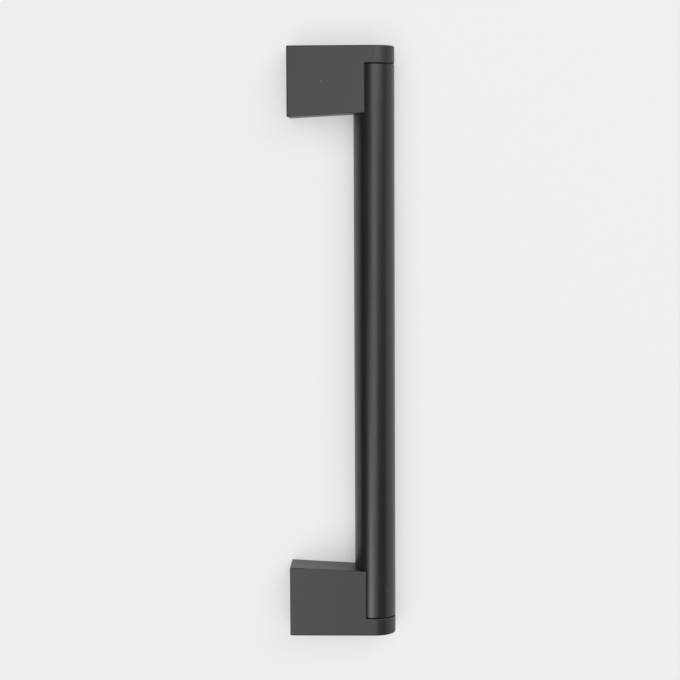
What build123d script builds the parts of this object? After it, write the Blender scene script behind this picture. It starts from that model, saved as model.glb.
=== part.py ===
from build123d import *

import os
from math import radians, tan

# Bar pull for a cabinet door or drawer: a round steel tube carried by two die-cast feet.
# Each foot is a block with a notch for the end of the bar, and a round-nosed cap that
# reaches out over the cut end. A spigot inside the cap fills the bore of the bar, and a
# set screw down the fixing hole clamps the wall of the bar against that spigot.
#
# Frame, in millimetres. The door plane is X = 0 and the handle stands out towards +X.
# The bar runs along Y, with the upper foot at +Y. Z is the thickness, and the handle is
# symmetric about Z = 0, so it also lies flat on a table. The origin is midway between
# the two fixing holes.

# Bar, a painted tube cut square
bar_diameter = 12.7
bar_wall = 1.0
bar_end_chamfer = 0.2

# Placing of the bar and the feet on the door
hole_spacing = 160.0
hole_to_end = 11.6
finger_clearance = 20.3

# Foot casting, with heights measured along the bar
foot_base_height = 21.7
inner_face_draft = 3.0
notch_setback = 2.75
cap_thickness = 5.35
edge_round = 0.4
arris_round = 0.2

# Seats of the bar in the casting
seam_gap = 0.2
groove_clearance = 0.1
spigot_clearance = 0.1
spigot_length = 9.0
spigot_lead_in = 0.8

# Fixing hole for an M4 screw from inside the door, drawn at its tapping size
fixing_hole_diameter = 3.3
fixing_hole_depth = 13.0
fixing_hole_chamfer = 0.4
drill_point_angle = 118.0

# M3 set screw at the bottom of the fixing hole, drawn at the core of its thread
set_hole_diameter = 2.5
set_screw_clearance = 0.05
set_screw_length = 5.0
set_screw_chamfer = 0.3
set_screw_tip_gap = 0.05
socket_across_flats = 1.5
socket_depth = 2.0

# Cores that lighten the foot from its base, on both sides of the screw boss
core_wall = 2.2
core_depth = 14.0
core_draft = 1.0
core_corner_round = 1.0
boss_diameter = 9.0

# Places that follow from the sizes above
bar_radius = bar_diameter / 2
nose_radius = bar_radius
bar_axis_x = finger_clearance + bar_radius
notch_wall_x = bar_axis_x - notch_setback
nose_x = bar_axis_x + nose_radius
fixing_hole_y = hole_spacing / 2
outer_face_y = fixing_hole_y + hole_to_end
seat_y = outer_face_y - cap_thickness
inner_base_y = outer_face_y - foot_base_height
inner_wall_y = inner_base_y + notch_wall_x * tan(radians(inner_face_draft))


def along_bar(radius, start_y, end_y):
    """A cylinder on the axis of the bar between two heights."""
    centre = Pos(bar_axis_x, (start_y + end_y) / 2, 0)
    return centre * Rot(90, 0, 0) * Cylinder(radius, abs(end_y - start_y))


def into_foot(radius, start_x, end_x):
    """A cylinder on the axis of the upper fixing hole between two depths."""
    centre = Pos((start_x + end_x) / 2, fixing_hole_y, 0)
    return centre * Rot(0, 90, 0) * Cylinder(radius, end_x - start_x)


def edges_at(part, axis, position, tolerance=1e-4):
    """The edges that lie wholly at one position along an axis."""
    return part.edges().filter_by_position(axis, position - tolerance, position + tolerance)


def foot_blank():
    """The outside of the upper foot: its side view trimmed to a round-nosed section."""
    side_view = Polyline(
        (0, outer_face_y),
        (nose_x, outer_face_y),
        (nose_x, seat_y),
        (notch_wall_x, seat_y),
        (notch_wall_x, inner_wall_y),
        (0, inner_base_y),
        close=True,
    )
    slab = extrude(make_face(side_view), amount=nose_radius, both=True)
    flat_sides = Pos(bar_axis_x / 2, 0) * Rectangle(bar_axis_x, 2 * nose_radius)
    section = flat_sides + Pos(bar_axis_x, 0) * Circle(nose_radius)
    return slab & extrude(Plane.XZ * section, amount=outer_face_y, both=True)


def soften(blank):
    """Rounds the outer edges of the casting, and breaks the arrises round the notch."""
    inner_face = blank.faces().sort_by(Axis.Y)[0]
    outline = edges_at(blank, Axis.Y, outer_face_y) + edges_at(blank, Axis.X, 0)
    sides = inner_face.edges().filter_by(lambda edge: abs(edge.center().Z) > nose_radius / 2)
    blank = fillet(outline + sides, edge_round)
    seat = edges_at(blank, Axis.Y, seat_y)
    wall = edges_at(blank, Axis.X, notch_wall_x)
    root = edges_at(seat, Axis.X, notch_wall_x)
    return fillet([edge for edge in seat + wall if edge not in root], arris_round)


def screw_hole():
    """The stepped hole from the base to the groove, with its countersunk mouth."""
    wide = fixing_hole_diameter / 2
    narrow = set_hole_diameter / 2
    mouth = wide + fixing_hole_chamfer
    step = (wide - narrow) / tan(radians(drill_point_angle / 2))
    half_section = Polyline(
        (0, 0),
        (mouth, 0),
        (wide, fixing_hole_chamfer),
        (wide, fixing_hole_depth),
        (narrow, fixing_hole_depth + step),
        (narrow, bar_axis_x),
        (0, bar_axis_x),
        close=True,
    )
    cutter = revolve(make_face(half_section), Axis.Y)
    return Pos(0, fixing_hole_y, 0) * Rot(0, 0, -90) * cutter


def lightening_core():
    """The tapered core of the foot, which leaves the screw boss standing."""
    length = foot_base_height - 2 * core_wall
    width = 2 * (nose_radius - core_wall)
    centre_y = outer_face_y - foot_base_height / 2
    mouth = Plane.YZ * Pos(centre_y, 0) * RectangleRounded(length, width, core_corner_round)
    core = extrude(mouth, amount=core_depth, taper=core_draft)
    return core - into_foot(boss_diameter / 2, 0, core_depth)


def spigot():
    """The round spigot cast on the inner side of the cap, with a lead-in at its tip."""
    radius = bar_radius - bar_wall - spigot_clearance
    tip_y = seat_y - spigot_length
    rod = along_bar(radius, tip_y, seat_y + cap_thickness / 2)
    return chamfer(edges_at(rod, Axis.Y, tip_y), spigot_lead_in)


def make_foot():
    """The upper foot, one casting."""
    foot = soften(foot_blank())
    foot -= along_bar(bar_radius + groove_clearance, 0, seat_y)
    foot += spigot()
    foot -= lightening_core()
    return foot - screw_hole()


def make_bar():
    """The bar, a tube whose ends stop a seam's width short of the caps."""
    end_y = seat_y - seam_gap
    rod = along_bar(bar_radius, -end_y, end_y)
    ends = edges_at(rod, Axis.Y, end_y) + edges_at(rod, Axis.Y, -end_y)
    return chamfer(ends, bar_end_chamfer) - along_bar(bar_radius - bar_wall, -end_y, end_y)


def make_set_screw():
    """The upper set screw, headless, with a hexagon socket towards the door."""
    tip_x = finger_clearance - set_screw_tip_gap
    socket_x = tip_x - set_screw_length
    screw = into_foot(set_hole_diameter / 2 - set_screw_clearance, socket_x, tip_x)
    ends = edges_at(screw, Axis.X, socket_x) + edges_at(screw, Axis.X, tip_x)
    screw = chamfer(ends, set_screw_chamfer)
    hexagon = RegularPolygon(socket_across_flats / 2, 6, major_radius=False)
    socket = extrude(Plane.YZ.offset(socket_x) * Pos(fixing_hole_y, 0) * hexagon, socket_depth)
    return screw - socket


upper_foot = make_foot()
upper_set_screw = make_set_screw()
half_turn = Rot(180, 0, 0)

nodes = {
    "bar_tube": make_bar(),
    "upper_foot": upper_foot,
    "lower_foot": half_turn * upper_foot,
    "upper_set_screw": upper_set_screw,
    "lower_set_screw": half_turn * upper_set_screw,
}

os.makedirs("parts", exist_ok=True)
for name, solid in nodes.items():
    export_step(solid, f"parts/{name}.step")
    print(name, solid.bounding_box())
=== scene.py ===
"""Dresses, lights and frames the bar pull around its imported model.

The handle lies on its side on a pale table. X points away from the door, Y runs along the
bar towards the upper foot and Z stands up from the table. Lengths are in metres.
"""

import sys

import logging
import math
from collections.abc import Callable, Iterable
from dataclasses import dataclass
from enum import Enum

import bmesh
import bpy
from mathutils import Matrix, Vector


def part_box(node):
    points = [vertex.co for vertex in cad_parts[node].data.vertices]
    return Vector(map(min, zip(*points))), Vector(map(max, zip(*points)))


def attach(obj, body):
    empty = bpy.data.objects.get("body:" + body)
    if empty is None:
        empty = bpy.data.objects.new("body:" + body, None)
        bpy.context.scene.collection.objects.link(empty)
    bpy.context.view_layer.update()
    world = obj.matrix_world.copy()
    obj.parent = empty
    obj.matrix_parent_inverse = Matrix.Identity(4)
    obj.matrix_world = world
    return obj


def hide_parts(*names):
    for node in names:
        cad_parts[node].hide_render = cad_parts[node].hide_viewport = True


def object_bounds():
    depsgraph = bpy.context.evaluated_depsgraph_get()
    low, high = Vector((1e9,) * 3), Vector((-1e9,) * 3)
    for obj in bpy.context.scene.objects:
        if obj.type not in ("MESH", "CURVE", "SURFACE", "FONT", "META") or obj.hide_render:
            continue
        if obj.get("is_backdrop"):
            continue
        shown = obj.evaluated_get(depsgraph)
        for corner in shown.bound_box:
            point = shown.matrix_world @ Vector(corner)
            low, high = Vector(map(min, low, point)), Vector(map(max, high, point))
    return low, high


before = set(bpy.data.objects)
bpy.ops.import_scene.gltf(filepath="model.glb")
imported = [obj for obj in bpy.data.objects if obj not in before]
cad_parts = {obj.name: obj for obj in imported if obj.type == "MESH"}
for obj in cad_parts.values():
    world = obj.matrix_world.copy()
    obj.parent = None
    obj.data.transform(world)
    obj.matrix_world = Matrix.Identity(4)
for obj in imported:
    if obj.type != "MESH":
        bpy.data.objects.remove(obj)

MM = 0.001
ROOT = "root"
SMOOTH_UP_TO = math.radians(32)

Point = tuple[float, float]
Place = tuple[float, float, float]
Colour = tuple[float, float, float, float]

log = logging.getLogger("bar_pull")


class Operation(Enum):
    """How a tool changes the body that it meets."""

    REMOVE = "DIFFERENCE"
    JOIN = "UNION"
    KEEP_COMMON = "INTERSECT"


class Skin(Enum):
    """Which of a casting's two materials a face shows."""

    COATED = 0
    MACHINED = 1


def linear(hex_colour: str) -> Colour:
    """Turns an sRGB hex colour into linear light.

    Args:
        hex_colour: The colour as "#rrggbb".

    Returns:
        Red, green, blue and an alpha of 1.
    """
    channels = (int(hex_colour[i : i + 2], 16) / 255 for i in (1, 3, 5))
    red, green, blue = (c / 12.92 if c <= 0.04045 else ((c + 0.055) / 1.055) ** 2.4 for c in channels)
    return red, green, blue, 1.0


def add_node(
    tree: bpy.types.NodeTree,
    kind: str,
    settings: dict[str, object] | None = None,
    inputs: dict[str | int, object] | None = None,
) -> bpy.types.Node:
    """Adds a shader node.

    Args:
        tree: The node tree that gets the node.
        kind: The node's type.
        settings: Its properties by name.
        inputs: Its inputs by name or number, each a plain value or the socket that feeds it.

    Returns:
        The new node.
    """
    node = tree.nodes.new(kind)
    for name, value in (settings or {}).items():
        setattr(node, name, value)
    for name, value in (inputs or {}).items():
        if isinstance(value, bpy.types.NodeSocket):
            tree.links.new(value, node.inputs[name])
        else:
            node.inputs[name].default_value = value
    return node


def seen_ray(
    tree: bpy.types.NodeTree, mirrored_share: float | bpy.types.NodeSocket = 1.0
) -> bpy.types.NodeSocket:
    """Tells the rays that show a thing, straight or in gloss or glass, from those that light it.

    Args:
        tree: The node tree that needs to know.
        mirrored_share: How much of the thing shows in gloss and glass.

    Returns:
        A value of 1 for a ray that shows, and 0 for one that lights.
    """
    path = add_node(tree, "ShaderNodeLightPath").outputs
    mirrored = add_node(
        tree,
        "ShaderNodeMath",
        {"operation": "MAXIMUM"},
        {0: path["Is Glossy Ray"], 1: path["Is Transmission Ray"]},
    ).outputs[0]
    shown = add_node(
        tree, "ShaderNodeMath", {"operation": "MULTIPLY"}, {0: mirrored, 1: mirrored_share}
    ).outputs[0]
    return add_node(
        tree, "ShaderNodeMath", {"operation": "MAXIMUM"}, {0: path["Is Camera Ray"], 1: shown}
    ).outputs[0]


def empty_material(name: str) -> bpy.types.Material:
    """Makes a material with no nodes in its tree yet.

    Args:
        name: The material's name.

    Returns:
        The new material.
    """
    material = bpy.data.materials.new(name)
    material.use_nodes = True
    material.node_tree.nodes.clear()
    return material


@dataclass(frozen=True)
class PowderCoat:
    """Black polyester powder, sprayed dry on the metal and baked at about 200 degrees C.

    It gives the eye a deep neutral black under a soft satin sheen. The melted powder leaves
    a shallow orange peel, a finer grain from its matting agent, and now and then a nib,
    a grain of dust that the coat has sealed in.
    """

    name: str
    colour: str = "#191919"
    patch_colour: str = "#1c1c1d"
    roughness: float = 0.33
    roughness_spread: float = 0.03
    ior: float = 1.58
    peel_width: float = 2.2 * MM
    peel_height: float = 0.004 * MM
    # The real grain is about 0.05 mm across. It is drawn coarser so that it shows close by.
    grain_width: float = 0.25 * MM
    grain_height: float = 0.0006 * MM
    patch_width: float = 14 * MM
    nibs: tuple[Place, ...] = ()
    nib_radius: float = 0.42 * MM
    nib_height: float = 0.02 * MM
    nib_colour: str = "#444444"

    def material(self) -> bpy.types.Material:
        """Builds the coat's node tree.

        Returns:
            The finished material.
        """
        material = empty_material(self.name)
        tree = material.node_tree
        place = add_node(tree, "ShaderNodeTexCoord").outputs["Object"]
        patches, peel, grain = (
            add_node(
                tree, "ShaderNodeTexNoise", inputs={"Vector": place, "Scale": 1 / width, "Detail": detail}
            ).outputs["Fac"]
            for width, detail in ((self.patch_width, 3.0), (self.peel_width, 1.0), (self.grain_width, 2.0))
        )
        colour = add_node(
            tree,
            "ShaderNodeMix",
            {"data_type": "RGBA"},
            {"Factor": patches, 6: linear(self.colour), 7: linear(self.patch_colour)},
        ).outputs[2]
        roughness = add_node(
            tree,
            "ShaderNodeMapRange",
            inputs={
                "Value": patches,
                "To Min": self.roughness - self.roughness_spread,
                "To Max": self.roughness + self.roughness_spread,
            },
        ).outputs["Result"]
        relief = add_node(
            tree, "ShaderNodeBump", inputs={"Height": peel, "Distance": self.peel_height, "Strength": 1.0}
        ).outputs["Normal"]
        relief = add_node(
            tree,
            "ShaderNodeBump",
            inputs={"Height": grain, "Distance": self.grain_height, "Strength": 1.0, "Normal": relief},
        ).outputs["Normal"]
        for spot in self.nibs:
            colour, relief = self._nib(tree, place, spot, colour, relief)
        shader = add_node(
            tree,
            "ShaderNodeBsdfPrincipled",
            inputs={"Base Color": colour, "Roughness": roughness, "IOR": self.ior, "Normal": relief},
        )
        add_node(tree, "ShaderNodeOutputMaterial", inputs={"Surface": shader.outputs["BSDF"]})
        return material

    def _nib(
        self,
        tree: bpy.types.NodeTree,
        place: bpy.types.NodeSocket,
        spot: Place,
        colour: bpy.types.NodeSocket,
        relief: bpy.types.NodeSocket,
    ) -> tuple[bpy.types.NodeSocket, bpy.types.NodeSocket]:
        """Raises one nib and greys it a little.

        Args:
            tree: The coat's node tree.
            place: The position on the object.
            spot: Where the nib is.
            colour: The colour so far.
            relief: The normal so far.

        Returns:
            The colour and the normal with the nib in them.
        """
        distance = add_node(
            tree, "ShaderNodeVectorMath", {"operation": "DISTANCE"}, {0: place, 1: spot}
        ).outputs["Value"]
        height = add_node(
            tree,
            "ShaderNodeMapRange",
            {"interpolation_type": "SMOOTHSTEP"},
            {"Value": distance, "From Max": self.nib_radius, "To Min": 1.0, "To Max": 0.0},
        ).outputs["Result"]
        colour = add_node(
            tree,
            "ShaderNodeMix",
            {"data_type": "RGBA"},
            {"Factor": height, 6: colour, 7: linear(self.nib_colour)},
        ).outputs[2]
        relief = add_node(
            tree,
            "ShaderNodeBump",
            inputs={"Height": height, "Distance": self.nib_height, "Strength": 1.0, "Normal": relief},
        ).outputs["Normal"]
        return colour, relief


@dataclass(frozen=True)
class MachinedMetal:
    """Bare metal cut by a drill, a tap or a die, or only oiled and blackened after it.

    It gives the eye a metal sheen drawn out along the cut, with fine rings from the tool.
    """

    name: str
    colour: str
    dark_colour: str
    roughness: float
    # A tap leaves rings about 0.02 mm apart. They are drawn coarser so that they show close by.
    ring_width: float = 0.12 * MM
    ring_height: float = 0.0015 * MM
    stain_width: float = 1.5 * MM
    roughness_spread: float = 0.06

    def material(self) -> bpy.types.Material:
        """Builds the metal's node tree.

        Returns:
            The finished material.
        """
        material = empty_material(self.name)
        tree = material.node_tree
        place = add_node(tree, "ShaderNodeTexCoord").outputs["Object"]
        along = add_node(tree, "ShaderNodeSeparateXYZ", inputs={"Vector": place}).outputs["X"]
        rings = add_node(
            tree,
            "ShaderNodeTexNoise",
            {"noise_dimensions": "1D"},
            {"W": along, "Scale": 1 / self.ring_width, "Detail": 2.0},
        ).outputs["Fac"]
        stains = add_node(
            tree,
            "ShaderNodeTexNoise",
            inputs={"Vector": place, "Scale": 1 / self.stain_width, "Detail": 3.0},
        ).outputs["Fac"]
        colour = add_node(
            tree,
            "ShaderNodeMix",
            {"data_type": "RGBA"},
            {"Factor": stains, 6: linear(self.colour), 7: linear(self.dark_colour)},
        ).outputs[2]
        roughness = add_node(
            tree,
            "ShaderNodeMapRange",
            inputs={
                "Value": stains,
                "To Min": self.roughness - self.roughness_spread,
                "To Max": self.roughness + self.roughness_spread,
            },
        ).outputs["Result"]
        relief = add_node(
            tree, "ShaderNodeBump", inputs={"Height": rings, "Distance": self.ring_height, "Strength": 1.0}
        ).outputs["Normal"]
        shader = add_node(
            tree,
            "ShaderNodeBsdfPrincipled",
            inputs={"Base Color": colour, "Roughness": roughness, "Metallic": 1.0, "Normal": relief},
        )
        add_node(tree, "ShaderNodeOutputMaterial", inputs={"Surface": shader.outputs["BSDF"]})
        return material


def solid(
    name: str, vertices: Iterable[Place], faces: Iterable[Iterable[int]], skin: Skin
) -> bpy.types.Object:
    """Makes a closed body from corners and faces, with its faces turned outwards.

    Args:
        name: The body's name.
        vertices: Its corners.
        faces: Its faces, as corner numbers.
        skin: The material that its faces show.

    Returns:
        The new object, linked to the scene.
    """
    mesh = bpy.data.meshes.new(name)
    mesh.from_pydata(list(vertices), [], [list(face) for face in faces])
    shape = bmesh.new()
    shape.from_mesh(mesh)
    bmesh.ops.recalc_face_normals(shape, faces=shape.faces)
    for face in shape.faces:
        face.material_index = skin.value
    shape.to_mesh(mesh)
    shape.free()
    body = bpy.data.objects.new(name, mesh)
    bpy.context.scene.collection.objects.link(body)
    return body


def prism(
    name: str,
    outlines: tuple[list[Point], list[Point]],
    to_place: Callable[[Point, float], Place],
    span: Point,
) -> bpy.types.Object:
    """Makes a prism, or a tapered one, between two outlines with as many corners each.

    Args:
        name: The body's name.
        outlines: The outline at each end.
        to_place: Turns a corner of an outline and a distance along the prism into a place.
        span: Where the prism starts and ends.

    Returns:
        The new object.
    """
    corners = [to_place(corner, along) for outline, along in zip(outlines, span) for corner in outline]
    count = len(outlines[0])
    sides = [(i, (i + 1) % count, (i + 1) % count + count, i + count) for i in range(count)]
    ends = [range(count), range(count, 2 * count)]
    return solid(name, corners, [*sides, *ends], Skin.COATED)


def lathe(
    name: str,
    profile: list[Point],
    to_place: Callable[[float, float, float], Place],
    segments: int,
    skin: Skin,
) -> bpy.types.Object:
    """Turns a closed profile into a round body.

    Args:
        name: The body's name.
        profile: Its corners as radius and distance along the axis. The first and the last
            may lie on the axis, and then the body is a solid one, and otherwise a tube.
        to_place: Turns radius, angle and distance along the axis into a place.
        segments: How many steps the circle has.
        skin: The material that its faces show.

    Returns:
        The new object.
    """
    filled = profile[0][0] == 0
    ring_points = profile[1:-1] if filled else profile
    turns = [math.tau * i / segments for i in range(segments)]
    corners = [to_place(radius, turn, along) for radius, along in ring_points for turn in turns]
    bands = list(zip(range(len(ring_points)), range(1, len(ring_points))))
    if not filled:
        bands.append((len(ring_points) - 1, 0))
    faces = [
        (
            a * segments + i,
            a * segments + (i + 1) % segments,
            b * segments + (i + 1) % segments,
            b * segments + i,
        )
        for a, b in bands
        for i in range(segments)
    ]
    if filled:
        faces.append(tuple(range(segments)))
        faces.append(tuple(range(len(corners) - segments, len(corners))))
    return solid(name, corners, faces, skin)


def combine(body: bpy.types.Object, tool: bpy.types.Object, operation: Operation) -> None:
    """Changes a body by a tool, which is used up.

    Args:
        body: The body to change.
        tool: The tool body.
        operation: What the tool does to the body.
    """
    modifier = body.modifiers.new("combine", "BOOLEAN")
    modifier.operation = operation.value
    modifier.solver = "EXACT"
    modifier.material_mode = "INDEX"
    modifier.object = tool
    graph = bpy.context.evaluated_depsgraph_get()
    changed = bpy.data.meshes.new_from_object(body.evaluated_get(graph))
    body.modifiers.clear()
    old = body.data
    body.data = changed
    bpy.data.meshes.remove(old)
    bpy.data.objects.remove(tool)


def soften(
    body: bpy.types.Object, chosen: Callable[[Vector, Vector], bool], radius: float, steps: int
) -> None:
    """Rounds some edges of a body.

    Args:
        body: The body to change.
        chosen: Says of an edge's two ends whether that edge is rounded.
        radius: The radius of the rounding.
        steps: How many faces it has.
    """
    shape = bmesh.new()
    shape.from_mesh(body.data)
    edges = [edge for edge in shape.edges if chosen(edge.verts[0].co, edge.verts[1].co)]
    bmesh.ops.bevel(
        shape, geom=edges, offset=radius, offset_type="OFFSET", segments=steps, profile=0.5, affect="EDGES"
    )
    shape.to_mesh(body.data)
    shape.free()


@dataclass(frozen=True)
class MetricThread:
    """A 60-degree metric thread whose axis is parallel to X."""

    diameter: float
    pitch: float
    steps: int = 48

    @property
    def depth(self) -> float:
        """The height of the thread, five eighths of its sharp triangle."""
        return 5 / 8 * math.sqrt(3) / 2 * self.pitch

    def rod(
        self, name: str, span: Point, slack: float, limit: Callable[[float], float]
    ) -> bpy.types.Object:
        """Makes a threaded rod round the X axis.

        Its crests are at the same places for every span, so that a rod fits the hole that
        another one cuts. It starts a third of a step round, so that none of its corners
        falls on a drill's.

        Args:
            name: The rod's name.
            span: Where it starts and ends along X. The ends run out within one pitch.
            slack: How much smaller its radius is than the nominal one.
            limit: The most that the radius may be at a place along X.

        Returns:
            The new object.
        """
        crest = self.diameter / 2 - slack
        root = crest - self.depth
        # Each corner of one thread form, as its share of the pitch and its radius.
        ridge = ((0, crest), (1 / 8, crest), (7 / 16, root), (11 / 16, root))
        first, last = (round(x / self.pitch) for x in span)
        corners = []
        for step in range(self.steps):
            turn = math.tau * (step + 1 / 3) / self.steps
            for coil in range(first, last):
                for share, radius in ridge:
                    x = self.pitch * (coil + share + step / self.steps)
                    reach = min(radius, limit(x))
                    corners.append((x, reach * math.cos(turn), reach * math.sin(turn)))
        row = (last - first) * len(ridge)
        faces = []
        for step in range(self.steps):
            seam = step == self.steps - 1
            here, there = step * row, len(ridge) if seam else (step + 1) * row
            for k in range(row - 1 - (len(ridge) if seam else 0)):
                faces.append((here + k, here + k + 1, there + k + 1, there + k))
        starts = [step * row for step in range(self.steps)] + list(range(len(ridge), 0, -1))
        stops = [step * row + row - 1 for step in range(self.steps)]
        stops += [stops[-1] - k for k in range(1, len(ridge) + 1)]
        for loop, x in ((starts, self.pitch * first), (stops, self.pitch * (last + 1))):
            corners.append((x, 0.0, 0.0))
            hub = len(corners) - 1
            faces += [(hub, loop[i], loop[(i + 1) % len(loop)]) for i in range(len(loop))]
        return solid(name, corners, faces, Skin.MACHINED)


@dataclass
class Piece:
    """What every visible piece of the handle shares: the node that it stands for."""

    node: str
    slot: str

    def dress(self, body: bpy.types.Object, materials: list[bpy.types.Material]) -> bpy.types.Object:
        """Shades a finished body, gives it its materials and puts it in its node's place.

        Args:
            body: The finished body.
            materials: Its materials, in the order of Skin.

        Returns:
            The same body.
        """
        mesh = body.data
        mesh.materials.clear()
        for material in materials:
            mesh.materials.append(material)
        mesh.shade_smooth()
        mesh.set_sharp_from_angle(angle=SMOOTH_UP_TO)
        weighted = body.modifiers.new("even_shading", "WEIGHTED_NORMAL")
        weighted.keep_sharp = True
        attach(body, ROOT)
        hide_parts(self.node)
        log.info("%s stands for %s with %d faces", body.name, self.node, len(mesh.polygons))
        return body


@dataclass
class BarTube(Piece):
    """The bar, a coated steel tube."""

    node: str = "bar_tube"
    slot: str = "bar_coating"
    wall: float = 1.0 * MM
    end_chamfer: float = 0.2 * MM
    segments: int = 192
    rings: int = 48

    def __post_init__(self) -> None:
        """Takes the tube's outer size and place from its node."""
        low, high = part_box(self.node)
        self.radius = (high.z - low.z) / 2
        self.axis_x = high.x - self.radius
        self.start, self.end = low.y, high.y

    def place(self, radius: float, turn: float, along: float) -> Place:
        """Turns radius, angle and distance along the bar into a place."""
        return self.axis_x + radius * math.cos(turn), along, radius * math.sin(turn)

    def build(self, coat: bpy.types.Material) -> bpy.types.Object:
        """Turns the tube and coats it.

        Args:
            coat: Its finish.

        Returns:
            The finished piece.
        """
        bore = self.radius - self.wall
        lip = self.radius - self.end_chamfer
        first, last = self.start + self.end_chamfer, self.end - self.end_chamfer
        outside = [(self.radius, first + (last - first) * i / self.rings) for i in range(self.rings + 1)]
        profile = [(bore, self.start), (lip, self.start), *outside, (lip, self.end), (bore, self.end)]
        body = lathe("bar_coated", profile, self.place, self.segments, Skin.COATED)
        return self.dress(body, [coat])


@dataclass
class FootCasting(Piece):
    """A foot, one zinc casting, built as the upper one and turned half round for the lower."""

    node: str = "upper_foot"
    slot: str = "foot_coating"
    turned: bool = False
    base_height: float = 21.7 * MM
    inner_draft: float = math.radians(3.0)
    notch_setback: float = 2.75 * MM
    cap: float = 5.35 * MM
    edge_round: float = 0.4 * MM
    arris_round: float = 0.2 * MM
    groove_clearance: float = 0.1 * MM
    spigot_radius: float = 5.25 * MM
    spigot_length: float = 9.0 * MM
    spigot_lead_in: float = 0.8 * MM
    core_wall: float = 2.2 * MM
    core_depth: float = 14.0 * MM
    core_draft: float = math.radians(1.0)
    core_corner: float = 1.0 * MM
    boss_radius: float = 4.5 * MM
    hole_to_end: float = 11.6 * MM
    hole_radius: float = 1.65 * MM
    hole_depth: float = 13.0 * MM
    hole_mouth: float = 0.4 * MM
    narrow_radius: float = 1.25 * MM
    drill_point: float = math.radians(118.0)
    tap_lead: float = 1.5 * MM
    tap_stop: float = 0.5 * MM
    nose_steps: int = 64
    edge_steps: int = 5
    arris_steps: int = 3
    corner_steps: int = 8
    groove_steps: int = 192
    hole_steps: int = 96
    overshoot: float = 1.0 * MM

    def __post_init__(self) -> None:
        """Takes the foot's outer size and place from its node."""
        low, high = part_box(self.node)
        self.half = (high.z - low.z) / 2
        self.nose_x = high.x
        self.outer = max(abs(low.y), abs(high.y))
        self.axis_x = self.nose_x - self.half
        self.notch_x = self.axis_x - self.notch_setback
        self.seat = self.outer - self.cap
        self.hole_y = self.outer - self.hole_to_end

    def round_bar(self, radius: float, turn: float, along: float) -> Place:
        """Turns radius, angle and distance along the bar's axis into a place."""
        return self.axis_x + radius * math.cos(turn), along, radius * math.sin(turn)

    def round_hole(self, radius: float, turn: float, along: float) -> Place:
        """Turns radius, angle and depth in the fixing hole into a place."""
        return along, self.hole_y + radius * math.cos(turn), radius * math.sin(turn)

    def blank(self) -> bpy.types.Object:
        """Makes the outside of the casting: its side view trimmed to a round-nosed section.

        Returns:
            The blank, with all its outer edges rounded.
        """
        inner = self.outer - self.base_height
        wall_end = inner + self.notch_x * math.tan(self.inner_draft)
        side_view = [
            (0, self.outer),
            (self.nose_x + self.overshoot, self.outer),
            (self.nose_x + self.overshoot, self.seat),
            (self.notch_x, self.seat),
            (self.notch_x, wall_end),
            (0, inner),
        ]
        high = self.half + self.overshoot
        body = prism("foot", (side_view, side_view), lambda p, z: (p[0], p[1], z), (-high, high))
        turns = [math.pi * (i / self.nose_steps - 0.5) for i in range(self.nose_steps + 1)]
        nose = [(self.axis_x + self.half * math.cos(t), self.half * math.sin(t)) for t in turns]
        section = [(-self.overshoot, -self.half), *nose, (-self.overshoot, self.half)]
        span = (inner - self.overshoot, self.outer + self.overshoot)
        sleeve = prism("section", (section, section), lambda p, y: (p[0], y, p[1]), span)
        combine(body, sleeve, Operation.KEEP_COMMON)
        self._round_outline(body, inner)
        return body

    def _round_outline(self, body: bpy.types.Object, inner: float) -> None:
        """Rounds the outer edges of the blank, and breaks its inner arrises.

        Args:
            body: The blank.
            inner: The height where its inner face meets the door.
        """
        near = 0.01 * MM

        def on(axis: int, value: float) -> Callable[[Vector, Vector], bool]:
            return lambda a, b: abs(a[axis] - value) < near and abs(b[axis] - value) < near

        def on_side(a: Vector, b: Vector) -> bool:
            return min(abs(a.z), abs(b.z)) > self.half - near and a.z * b.z > 0

        def on_inner(a: Vector, b: Vector) -> bool:
            slope = math.tan(self.inner_draft)
            return all(abs(p.y - inner - p.x * slope) < near for p in (a, b))

        def arris(a: Vector, b: Vector) -> bool:
            at_seat, at_wall = on(1, self.seat)(a, b), on(0, self.notch_x)(a, b)
            return (on_inner(a, b) and on_side(a, b)) or at_seat != at_wall

        def outer_edge(a: Vector, b: Vector) -> bool:
            return on(1, self.outer)(a, b) or on(0, 0)(a, b)

        soften(body, outer_edge, self.edge_round, self.edge_steps)
        soften(body, arris, self.arris_round, self.arris_steps)

    def cores(self) -> bpy.types.Object:
        """Makes the tapered core that hollows the foot from its base on both sides of the boss.

        Returns:
            The core, in two lumps.
        """
        centre = self.outer - self.base_height / 2
        grow = self.overshoot * math.tan(self.core_draft)
        shrink = self.core_depth * math.tan(self.core_draft)

        def rounded(inset: float) -> list[Point]:
            half_long = self.base_height / 2 - self.core_wall - inset
            half_wide = self.half - self.core_wall - inset
            corner = self.core_corner
            points = []
            for quarter, (sy, sz) in enumerate(((1, 1), (-1, 1), (-1, -1), (1, -1))):
                for i in range(self.corner_steps + 1):
                    turn = math.pi / 2 * (quarter + i / self.corner_steps)
                    y = centre + sy * (half_long - corner) + corner * math.cos(turn)
                    points.append((y, sz * (half_wide - corner) + corner * math.sin(turn)))
            return points

        outlines = (rounded(-grow), rounded(shrink))
        core = prism("core", outlines, lambda p, x: (x, p[0], p[1]), (-self.overshoot, self.core_depth))
        below, above = -2 * self.overshoot, self.core_depth + self.overshoot
        round_boss = [(0, below), (self.boss_radius, below), (self.boss_radius, above), (0, above)]
        boss = lathe("boss", round_boss, self.round_hole, self.hole_steps, Skin.COATED)
        combine(core, boss, Operation.REMOVE)
        return core

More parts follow.
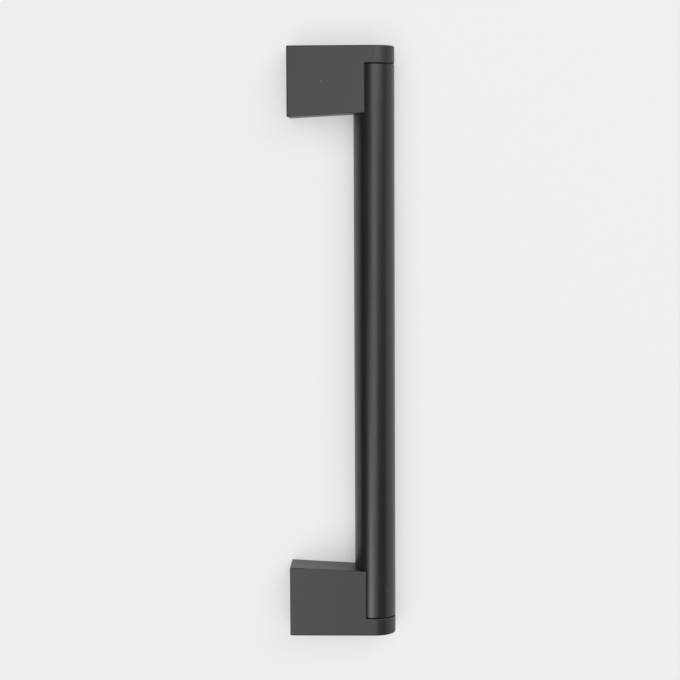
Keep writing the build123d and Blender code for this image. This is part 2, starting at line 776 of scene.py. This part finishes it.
    def screw_hole(self) -> bpy.types.Object:
        """Makes the drill that cuts the stepped hole from the base to the groove.

        Returns:
            The drill, with machined faces.
        """
        mouth = self.hole_radius + self.hole_mouth
        step = (self.hole_radius - self.narrow_radius) / math.tan(self.drill_point / 2)
        profile = [
            (0, -self.overshoot),
            (mouth + self.overshoot, -self.overshoot),
            (self.hole_radius, self.hole_mouth),
            (self.hole_radius, self.hole_depth),
            (self.narrow_radius, self.hole_depth + step),
            (self.narrow_radius, self.axis_x),
            (0, self.axis_x),
        ]
        return lathe("drill", profile, self.round_hole, self.hole_steps, Skin.MACHINED)

    def tap(self, thread: MetricThread, span: Point, run_out: float) -> bpy.types.Object:
        """Makes the tap that cuts a thread in the fixing hole.

        Args:
            thread: The thread.
            span: Where the tap starts and ends.
            run_out: Where its teeth start to grow shorter.

        Returns:
            The tap.
        """
        tool = thread.rod("tap", span, 0.0, lambda x: thread.diameter / 2 - max(0.0, x - run_out))
        tool.data.transform(Matrix.Translation((0, self.hole_y, 0)))
        return tool

    def build(
        self,
        name: str,
        coat: bpy.types.Material,
        bare: bpy.types.Material,
        threads: tuple[MetricThread, MetricThread],
    ) -> bpy.types.Object:
        """Casts the foot, machines it and coats it.

        Args:
            name: The piece's name.
            coat: The finish of the casting.
            bare: The finish of the machined hole.
            threads: The thread of the fixing hole and that of the set screw beyond it.

        Returns:
            The finished piece.
        """
        body = self.blank()
        body.name = name
        groove_radius = self.half + self.groove_clearance
        bed = [(0, 0), (groove_radius, 0), (groove_radius, self.seat), (0, self.seat)]
        groove = lathe("groove", bed, self.round_bar, self.groove_steps, Skin.COATED)
        combine(body, groove, Operation.REMOVE)
        tip = self.seat - self.spigot_length
        inside = self.seat + self.cap / 2
        peg = [
            (0, tip),
            (self.spigot_radius - self.spigot_lead_in, tip),
            (self.spigot_radius, tip + self.spigot_lead_in),
            (self.spigot_radius, inside),
            (0, inside),
        ]
        spigot = lathe("spigot", peg, self.round_bar, self.hole_steps, Skin.COATED)
        combine(body, spigot, Operation.JOIN)
        combine(body, self.cores(), Operation.REMOVE)
        combine(body, self.screw_hole(), Operation.REMOVE)
        fixing, clamping = threads
        fixing_end, lead_start = self.hole_depth - self.tap_stop, self.hole_depth - self.tap_lead
        combine(body, self.tap(fixing, (-self.overshoot, fixing_end), lead_start), Operation.REMOVE)
        clamping_end = self.axis_x - self.half + self.overshoot
        combine(body, self.tap(clamping, (lead_start, clamping_end), self.axis_x), Operation.REMOVE)
        if self.turned:
            body.data.transform(Matrix.Rotation(math.pi, 4, "X"))
        return self.dress(body, [coat, bare])


@dataclass
class SetScrew(Piece):
    """A headless screw with a hexagon socket, which clamps the bar's wall on the spigot."""

    node: str = "upper_set_screw"
    slot: str = "screw_steel"
    across_flats: float = 1.5 * MM
    socket_depth: float = 2.0 * MM
    end_chamfer: float = 0.3 * MM
    fit_slack: float = 0.03 * MM
    segments: int = 96
    overshoot: float = 1.0 * MM

    def __post_init__(self) -> None:
        """Takes the screw's length and place from its node."""
        low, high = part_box(self.node)
        self.start, self.end = low.x, high.x
        self.centre_y = (low.y + high.y) / 2

    def build(self, name: str, steel: bpy.types.Material, thread: MetricThread) -> bpy.types.Object:
        """Threads the screw and broaches its socket.

        Args:
            name: The piece's name.
            steel: Its finish.
            thread: Its thread.

        Returns:
            The finished piece.
        """
        beyond = 2 * thread.pitch
        span = (self.start - beyond, self.end + beyond)
        body = thread.rod(name, span, self.fit_slack, lambda x: thread.diameter)
        radius = thread.diameter / 2 - self.fit_slack
        envelope = [
            (0, self.start),
            (radius - self.end_chamfer, self.start),
            (radius, self.start + self.end_chamfer),
            (radius, self.end - self.end_chamfer),
            (radius - self.end_chamfer, self.end),
            (0, self.end),
        ]
        blank = lathe(
            "blank",
            envelope,
            lambda radius, turn, x: (x, radius * math.cos(turn), radius * math.sin(turn)),
            self.segments,
            Skin.MACHINED,
        )
        combine(body, blank, Operation.KEEP_COMMON)
        corner = self.across_flats / math.sqrt(3)
        turns = [math.pi * i / 3 for i in range(6)]
        hexagon = [(corner * math.cos(turn), corner * math.sin(turn)) for turn in turns]
        reach = (self.start - self.overshoot, self.start + self.socket_depth)
        socket = prism("key", (hexagon, hexagon), lambda p, x: (x, p[0], p[1]), reach)
        combine(body, socket, Operation.REMOVE)
        body.data.transform(Matrix.Translation((0, self.centre_y, 0)))
        return self.dress(body, [steel, steel])


@dataclass(frozen=True)
class SoftBox:
    """A soft rectangular lamp that faces the handle.

    Its azimuth is measured from +X towards +Y and its polar angle from straight overhead,
    both in degrees. Its face is as bright as its radiance, where 1 is white.
    """

    name: str
    azimuth: float
    polar: float
    width: float
    height: float
    radiance: float
    distance: float = 1.5

    def place(self) -> bpy.types.Object:
        """Hangs the lamp.

        Returns:
            The lamp.
        """
        lamp = bpy.data.lights.new(self.name, "AREA")
        lamp.shape = "RECTANGLE"
        lamp.size = self.width
        lamp.size_y = self.height
        lamp.energy = self.radiance * math.pi * self.width * self.height
        holder = bpy.data.objects.new(self.name, lamp)
        bpy.context.scene.collection.objects.link(holder)
        holder.visible_camera = False
        azimuth, polar = math.radians(self.azimuth), math.radians(self.polar)
        away = Vector(
            (math.sin(polar) * math.cos(azimuth), math.sin(polar) * math.sin(azimuth), math.cos(polar))
        )
        holder.location = away * self.distance
        holder.rotation_euler = away.to_track_quat("Z", "Y").to_euler()
        log.info("%s hangs at %s", self.name, tuple(round(x, 2) for x in holder.location))
        return holder


@dataclass(frozen=True)
class Table:
    """The pale table top under the handle.

    The handle gets the light that the table throws back. The camera, and the gloss of the
    handle, see mostly the table's own even paleness, with a painted contact shadow that darkens
    it close to what lies on it, and the rest of it with the shadows of the lamps.
    """

    colour: str = "#dddddd"
    seen_colour: str = "#f2f2f2"
    seen_share: float = 0.85
    # The painted contact shadow: how far it reaches, how much of the paleness it takes at most, and how
    # many rays find it.
    painted_shadow_reach: float = 15 * MM
    painted_shadow_dark: float = 0.85
    painted_shadow_samples: int = 8
    size: float = 12.0
    gap: float = 0.01 * MM
    roughness: float = 0.9

    def place(self, height: float) -> bpy.types.Object:
        """Lays the table top.

        Args:
            height: The height of what rests on it.

        Returns:
            The table top, marked as stage.
        """
        half, level = self.size / 2, height - self.gap
        mesh = bpy.data.meshes.new("table_top")
        mesh.from_pydata(
            [(-half, -half, level), (half, -half, level), (half, half, level), (-half, half, level)],
            [],
            [(0, 1, 2, 3)],
        )
        top = bpy.data.objects.new("table_top", mesh)
        bpy.context.scene.collection.objects.link(top)
        mesh.materials.append(self.laminate())
        top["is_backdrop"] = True
        return top

    def laminate(self) -> bpy.types.Material:
        """Builds the node tree of the table's white laminate and its painted contact shadow.

        Returns:
            The finished material.
        """
        material = empty_material("white_laminate")
        tree = material.node_tree
        lit = add_node(
            tree,
            "ShaderNodeBsdfPrincipled",
            inputs={"Base Color": linear(self.colour), "Roughness": self.roughness},
        )
        # Painted contact shadow: ambient occlusion darkens the seen paleness close to the handle and in
        # the corners beside it, where shade falls.
        openness = add_node(
            tree,
            "ShaderNodeAmbientOcclusion",
            {"samples": self.painted_shadow_samples},
            {"Distance": self.painted_shadow_reach},
        ).outputs["AO"]
        hidden = add_node(
            tree, "ShaderNodeMath", {"operation": "SUBTRACT"}, {0: 1.0, 1: openness}
        ).outputs[0]
        painted_contact_shadow = add_node(
            tree, "ShaderNodeMath", {"operation": "POWER"}, {0: hidden, 1: 2.0}
        ).outputs[0]
        strength = add_node(
            tree,
            "ShaderNodeMapRange",
            inputs={"Value": painted_contact_shadow, "To Min": 1.0, "To Max": 1 - self.painted_shadow_dark},
        ).outputs["Result"]
        pale = add_node(
            tree, "ShaderNodeEmission", inputs={"Color": linear(self.seen_colour), "Strength": strength}
        )
        share = add_node(
            tree, "ShaderNodeMath", {"operation": "MULTIPLY"}, {0: seen_ray(tree), 1: self.seen_share}
        )
        mixed = add_node(
            tree,
            "ShaderNodeMixShader",
            inputs={0: share.outputs[0], 1: lit.outputs["BSDF"], 2: pale.outputs[0]},
        )
        add_node(tree, "ShaderNodeOutputMaterial", inputs={"Surface": mixed.outputs[0]})
        return material


@dataclass(frozen=True)
class Camera:
    """The camera, where the photograph's perspective puts it."""

    place: Place = (32.65 * MM, 48.68 * MM, 548.03 * MM)
    aim: Place = (15.85 * MM, 0.91 * MM, 0.0)
    roll: float = math.radians(0.282)
    lens: float = 93.28
    sensor: float = 36.0

    def set_up(self) -> bpy.types.Object:
        """Puts the camera in its place and makes it the scene's own.

        Returns:
            The camera.
        """
        data = bpy.data.cameras.new("camera")
        data.lens = self.lens
        data.sensor_width = self.sensor
        camera = bpy.data.objects.new("camera", data)
        bpy.context.scene.collection.objects.link(camera)
        forward = (Vector(self.aim) - Vector(self.place)).normalized()
        bar_way = Vector((0, 1, 0))
        level = (bar_way - bar_way.dot(forward) * forward).normalized()
        up = level * math.cos(self.roll) + forward.cross(level) * math.sin(self.roll)
        turn = Matrix((forward.cross(up), up, -forward)).transposed().to_4x4()
        camera.matrix_world = Matrix.Translation(self.place) @ turn
        bpy.context.scene.camera = camera
        return camera


@dataclass(frozen=True)
class Room:
    """The dim and even room round the table, with a pale wall where the view goes past the table.

    The wall is as pale as the table's far end, so no line parts them. In gloss and glass,
    only the wall's foot is pale. The dark bands along the photographed bar show that the
    room above it is dim.
    """

    level: float = 0.04
    wall_colour: str = "#e3e3e3"
    skirting: float = math.radians(3)

    def set_up(self) -> bpy.types.World:
        """Builds the room and makes it the scene's own.

        Returns:
            The room.
        """
        room = bpy.data.worlds.new("room")
        room.use_nodes = True
        tree = room.node_tree
        tree.nodes.clear()
        way = add_node(tree, "ShaderNodeTexCoord").outputs["Generated"]
        rise = add_node(tree, "ShaderNodeSeparateXYZ", inputs={"Vector": way}).outputs["Z"]
        foot = add_node(
            tree, "ShaderNodeMath", {"operation": "LESS_THAN"}, {0: rise, 1: math.sin(self.skirting)}
        ).outputs[0]
        light = add_node(tree, "ShaderNodeBackground", inputs={"Strength": self.level})
        wall = add_node(
            tree, "ShaderNodeBackground", inputs={"Color": linear(self.wall_colour), "Strength": 1.0}
        )
        mixed = add_node(
            tree,
            "ShaderNodeMixShader",
            inputs={0: seen_ray(tree, foot), 1: light.outputs[0], 2: wall.outputs[0]},
        )
        add_node(tree, "ShaderNodeOutputWorld", inputs={"Surface": mixed.outputs[0]})
        bpy.context.scene.world = room
        return room


def main() -> None:
    """Builds every piece, lights the scene and aims the camera."""
    logging.basicConfig(level=logging.INFO, format="%(name)s: %(message)s", stream=sys.stdout)
    bpy.context.scene.view_settings.view_transform = "Standard"
    cad_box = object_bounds()

    # Each nib is where the photograph shows it.
    bar_nibs = ((30.50 * MM, -77.57 * MM, 5.05 * MM), (26.22 * MM, 26.03 * MM, 6.34 * MM))
    foot_nibs = ((10.58 * MM, 80.68 * MM, 6.35 * MM),)
    bar_coat = PowderCoat("satin_black_powder_coat_on_steel_tube", nibs=bar_nibs).material()
    # A casting's skin is coarser than a drawn tube's, so the same coat ends up less glossy on it.
    foot_coat = PowderCoat(
        "satin_black_powder_coat_on_zinc_casting", roughness=0.42, nibs=foot_nibs, nib_radius=0.65 * MM
    ).material()
    zinc = MachinedMetal("drilled_and_tapped_zinc", "#b4b7ba", "#8f9295", 0.32).material()
    steel = MachinedMetal("black_oxide_steel", "#3b3c3e", "#2a2a2c", 0.35).material()
    fixing_thread = MetricThread(4 * MM, 0.7 * MM)
    clamping_thread = MetricThread(3 * MM, 0.5 * MM)

    BarTube().build(bar_coat)
    for side, turned in (("upper", False), ("lower", True)):
        foot = FootCasting(node=f"{side}_foot", turned=turned)
        foot.build(f"{side}_foot_coated", foot_coat, zinc, (fixing_thread, clamping_thread))
        screw = SetScrew(node=f"{side}_set_screw")
        screw.build(f"{side}_set_screw_threaded", steel, clamping_thread)

    Table().place(cad_box[0].z)
    for lamp in (
        SoftBox("top_box", azimuth=0, polar=0, width=0.7, height=0.7, radiance=2.6),
        SoftBox("key_box", azimuth=232, polar=35, width=0.7, height=0.7, radiance=5.9),
        SoftBox("far_box", azimuth=50, polar=34, width=0.8, height=0.8, radiance=4.1),
        SoftBox("side_box", azimuth=40, polar=56, width=0.8, height=0.8, radiance=4.2),
        SoftBox("low_near_box", azimuth=-60, polar=78, width=1.5, height=0.5, radiance=0.8),
        SoftBox("low_side_box", azimuth=-20, polar=78, width=1.5, height=0.5, radiance=0.8),
        SoftBox("low_far_box", azimuth=60, polar=78, width=1.5, height=0.5, radiance=0.8),
    ):
        lamp.place()
    Room().set_up()
    Camera().set_up()


if __name__ == "__main__":
    main()
